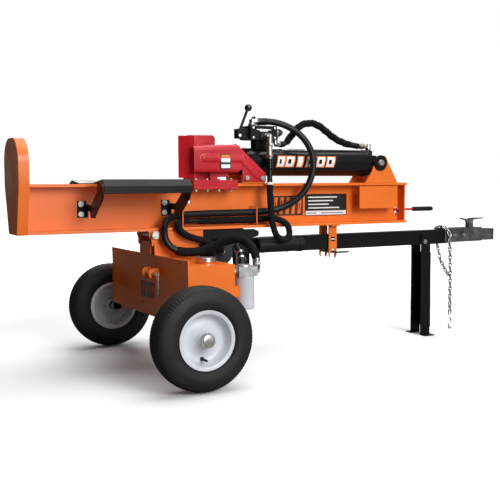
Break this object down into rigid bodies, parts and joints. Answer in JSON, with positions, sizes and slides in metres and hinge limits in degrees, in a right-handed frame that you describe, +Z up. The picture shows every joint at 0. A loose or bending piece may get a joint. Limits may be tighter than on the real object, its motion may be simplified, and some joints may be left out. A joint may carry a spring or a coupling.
{
  "type": "log splitter",
  "caption": "towable hydraulic log splitter: tilting I-beam with ram, wedge and log cradles over an oil-tank axle, pneumatic wheels, engine, tongue with ball coupler and jack stand",
  "frame": {"origin": "on the ground at the centre of the footprint's bounding box", "axes": "+X towards the tow coupler, +Y to the engine side, +Z up"},
  "size_m": [2.594, 1.182, 1.154],
  "materials": {
    "oil_tank": "semi-gloss orange powder coat",
    "filler_cap": "moulded",
    "pivot_post": "semi-gloss orange powder coat",
    "axle_stubs": "bright zinc plate",
    "tongue": "satin black paint",
    "frame_rails": "satin black paint",
    "coupler_body": "bright zinc plate",
    "tongue_bolts": "bright zinc plate",
    "safety_chains": "bright zinc plate",
    "hydraulic_pump": "cast, painted grey",
    "pump_bracket": "satin black paint",
    "engine_block": "cast, painted grey",
    "recoil_shroud": "satin black paint",
    "fuel_tank": "satin black paint",
    "muffler": "cast",
    "air_cleaner": "moulded",
    "filter_head": "cast",
    "filter_canister": "gloss white paint",
    "document_tube": "moulded",
    "suction_hose": "hydraulic hose cover",
    "tyre_near": "trailer tyre tread",
    "rim_near": "gloss white paint",
    "hub_fittings_near": "moulded",
    "tyre_far": "trailer tyre tread",
    "rim_far": "gloss white paint",
    "hub_fittings_far": "moulded",
    "beam": "semi-gloss orange powder coat",
    "foot_plate": "semi-gloss orange powder coat",
    "log_cradle_near": "satin black paint",
    "log_cradle_far": "satin black paint",
    "cradle_brackets": "satin black paint",
    "beam_bolts": "bright zinc plate",
    "beam_handle": "gloss red paint",
    "beam_lock_bracket": "semi-gloss orange powder coat",
    "base_pin": "bright zinc plate",
    "pivot_bolt": "bright zinc plate",
    "control_valve": "satin black paint",
    "hose_fittings": "bright zinc plate",
    "hose_straps": "semi-gloss orange powder coat",
    "cylinder_anchor": "semi-gloss orange powder coat",
    "cylinder_barrel": "satin black paint",
    "cylinder_gland": "cast, painted grey",
    "log_stripper_near": "gloss red paint",
    "log_stripper_far": "gloss red paint",
    "base_hose": "hydraulic hose cover",
    "return_hose": "hydraulic hose cover",
    "pressure_hose": "hydraulic hose cover",
    "piston_rod": "hard chrome",
    "piston": "cast, painted grey",
    "splitting_wedge": "gloss red paint",
    "ram_slide": "gloss red paint",
    "slide_bolts": "bright zinc plate",
    "valve_lever": "bright zinc plate",
    "lever_knob": "phenolic ball",
    "valve_spool": "bright zinc plate",
    "coupler_latch": "bright zinc plate",
    "jack_stand": "satin black paint",
    "beam_lock_pin": "bright zinc plate",
    "upright_lock_pin": "bright zinc plate",
    "crankshaft_coupling": "bright zinc plate"
  },
  "bodies": {
    "chassis": {"oil_tank": "oil_tank", "filler_cap": "filler_cap", "pivot_post": "pivot_post", "axle_stubs": "axle_stubs", "tongue": "tongue", "frame_rails": "frame_rails", "coupler_body": "coupler_body", "tongue_bolts": "tongue_bolts", "safety_chains": "safety_chains", "hydraulic_pump": "hydraulic_pump", "pump_bracket": "pump_bracket", "engine_block": "engine_block", "recoil_shroud": "recoil_shroud", "fuel_tank": "fuel_tank", "muffler": "muffler", "air_cleaner": "air_cleaner", "filter_head": "filter_head", "filter_canister": "filter_canister", "document_tube": "document_tube", "suction_hose": "suction_hose"},
    "wheel_near": {"tyre_near": "tyre_near", "rim_near": "rim_near", "hub_fittings_near": "hub_fittings_near"},
    "wheel_far": {"tyre_far": "tyre_far", "rim_far": "rim_far", "hub_fittings_far": "hub_fittings_far"},
    "splitter_beam": {"beam": "beam", "foot_plate": "foot_plate", "log_cradle_near": "log_cradle_near", "log_cradle_far": "log_cradle_far", "cradle_brackets": "cradle_brackets", "beam_bolts": "beam_bolts", "beam_handle": "beam_handle", "beam_lock_bracket": "beam_lock_bracket", "base_pin": "base_pin", "pivot_bolt": "pivot_bolt", "control_valve": "control_valve", "hose_fittings": "hose_fittings", "hose_straps": "hose_straps", "cylinder_anchor": "cylinder_anchor", "cylinder_barrel": "cylinder_barrel", "cylinder_gland": "cylinder_gland", "log_stripper_near": "log_stripper_near", "log_stripper_far": "log_stripper_far", "base_hose": "base_hose", "return_hose": "return_hose", "pressure_hose": "pressure_hose"},
    "ram": {"piston_rod": "piston_rod", "piston": "piston", "splitting_wedge": "splitting_wedge", "ram_slide": "ram_slide", "slide_bolts": "slide_bolts"},
    "lever": {"valve_lever": "valve_lever", "lever_knob": "lever_knob"},
    "spool": {"valve_spool": "valve_spool"},
    "latch": {"coupler_latch": "coupler_latch"},
    "stand": {"jack_stand": "jack_stand"},
    "beam_lock": {"beam_lock_pin": "beam_lock_pin"},
    "upright_lock": {"upright_lock_pin": "upright_lock_pin"},
    "crank": {"crankshaft_coupling": "crankshaft_coupling"}
  },
  "joints": [
    {"name": "beam_tilt", "type": "hinge", "parent": "chassis", "child": "splitter_beam", "pos_m": [-0.722, 0, 0.576], "axis": [0, -1, 0], "range_deg": [0, 90], "deforming": ["return_hose", "pressure_hose"]},
    {"name": "wheel_near_spin", "type": "hinge", "parent": "chassis", "child": "wheel_near", "pos_m": [-0.718, -0.525, 0.205], "axis": [0, 1, 0], "continuous": true},
    {"name": "wheel_far_spin", "type": "hinge", "parent": "chassis", "child": "wheel_far", "pos_m": [-0.718, 0.525, 0.205], "axis": [0, 1, 0], "continuous": true},
    {"name": "ram_stroke", "type": "slide", "parent": "splitter_beam", "child": "ram", "axis": [-1, 0, 0], "range_m": [0, 0.6]},
    {"name": "lever_tilt", "type": "hinge", "parent": "splitter_beam", "child": "lever", "pos_m": [-0.278, 0, 1.008], "axis": [0, 1, 0], "range_deg": [-10, 10]},
    {"name": "spool_shift", "type": "slide", "parent": "splitter_beam", "child": "spool", "axis": [1, 0, 0], "range_m": [-0.0025, 0.0025]},
    {"name": "latch_lift", "type": "hinge", "parent": "chassis", "child": "latch", "pos_m": [1.135, 0, 0.577], "axis": [0, -1, 0], "range_deg": [0, 35]},
    {"name": "stand_fold", "type": "hinge", "parent": "chassis", "child": "stand", "pos_m": [0.786, 0, 0.488], "axis": [0, 1, 0], "range_deg": [0, 90]},
    {"name": "beam_lock_slide", "type": "slide", "parent": "chassis", "child": "beam_lock", "axis": [0, -1, 0], "range_m": [0, 0.12]},
    {"name": "upright_lock_slide", "type": "slide", "parent": "chassis", "child": "upright_lock", "axis": [0, -1, 0], "range_m": [0, 0.07]},
    {"name": "crank_spin", "type": "hinge", "parent": "chassis", "child": "crank", "pos_m": [-0.395, 0, 0.482], "axis": [0, 1, 0], "continuous": true}
  ],
  "couplings": [
    {"joint": "spool_shift", "follows": "lever_tilt", "m_per_rad": 0.014}
  ]
}
